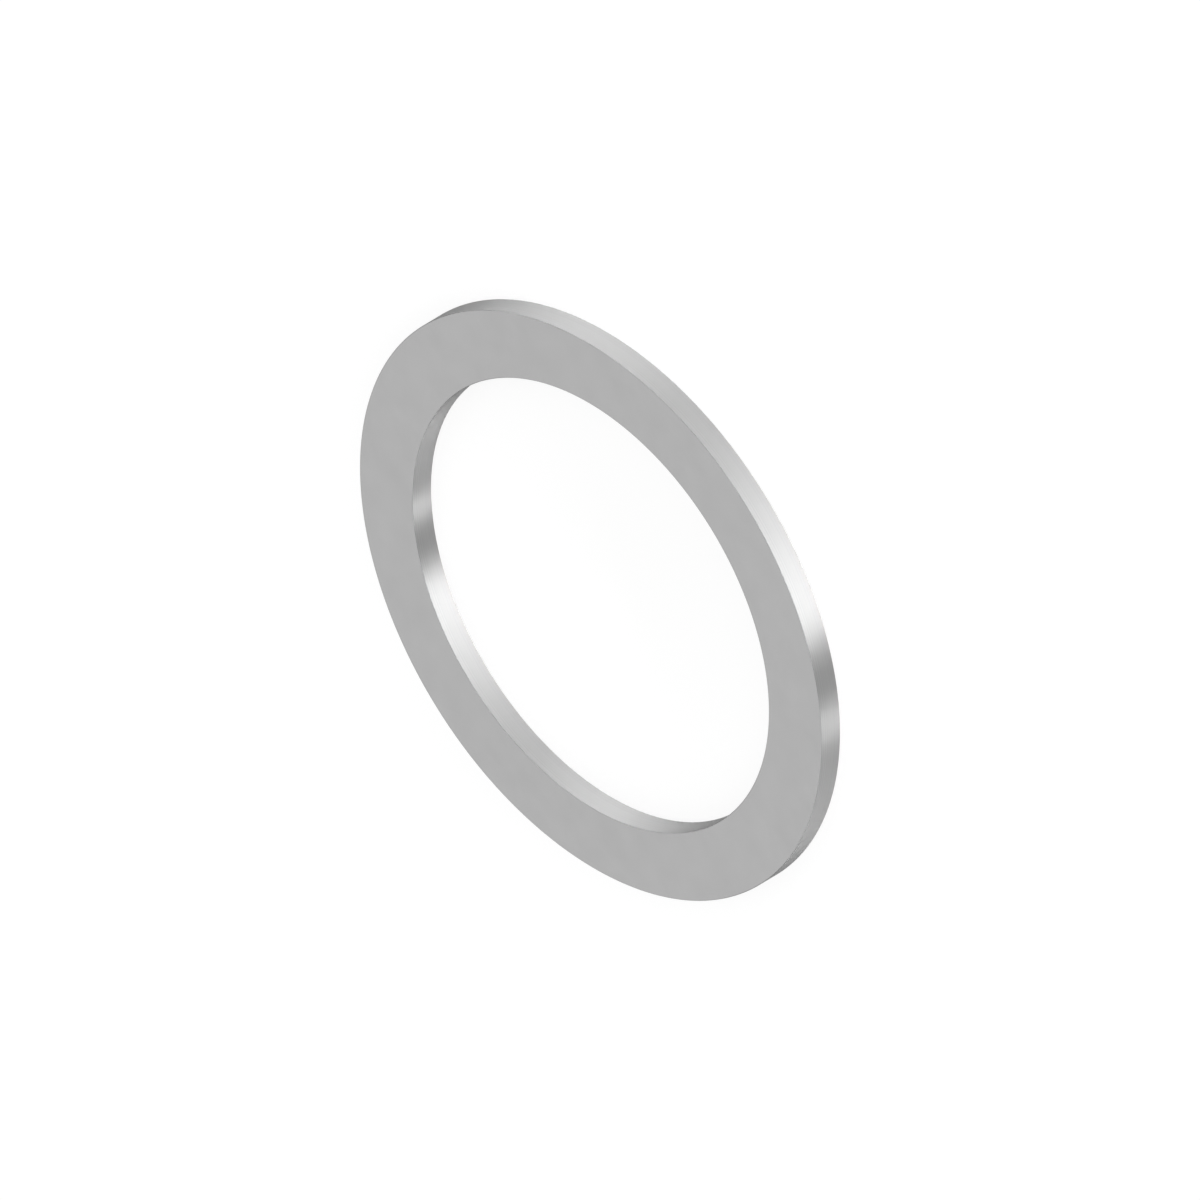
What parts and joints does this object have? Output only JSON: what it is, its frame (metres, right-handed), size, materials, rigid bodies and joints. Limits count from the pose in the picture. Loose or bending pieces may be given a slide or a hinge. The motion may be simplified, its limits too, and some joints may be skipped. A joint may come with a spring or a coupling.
{
  "type": "flat washer",
  "caption": "Thin flat ring washer of plain rectangular section, with a wide clearance bore, narrow parallel faces and lightly broken edges, for spacing parts on a shaft.",
  "frame": {"origin": "middle of the bore on the lower face, which the washer lies on", "axes": "+Z along the axis of the bore, out of the upper face; X and Y lie in the lower face"},
  "size_m": [0.05, 0.05, 0.002],
  "materials": {
    "steel": "bright plain steel: satin ground faces, turned rim and bore"
  },
  "bodies": {
    "root": {"washer": "steel"}
  },
  "joints": []
}
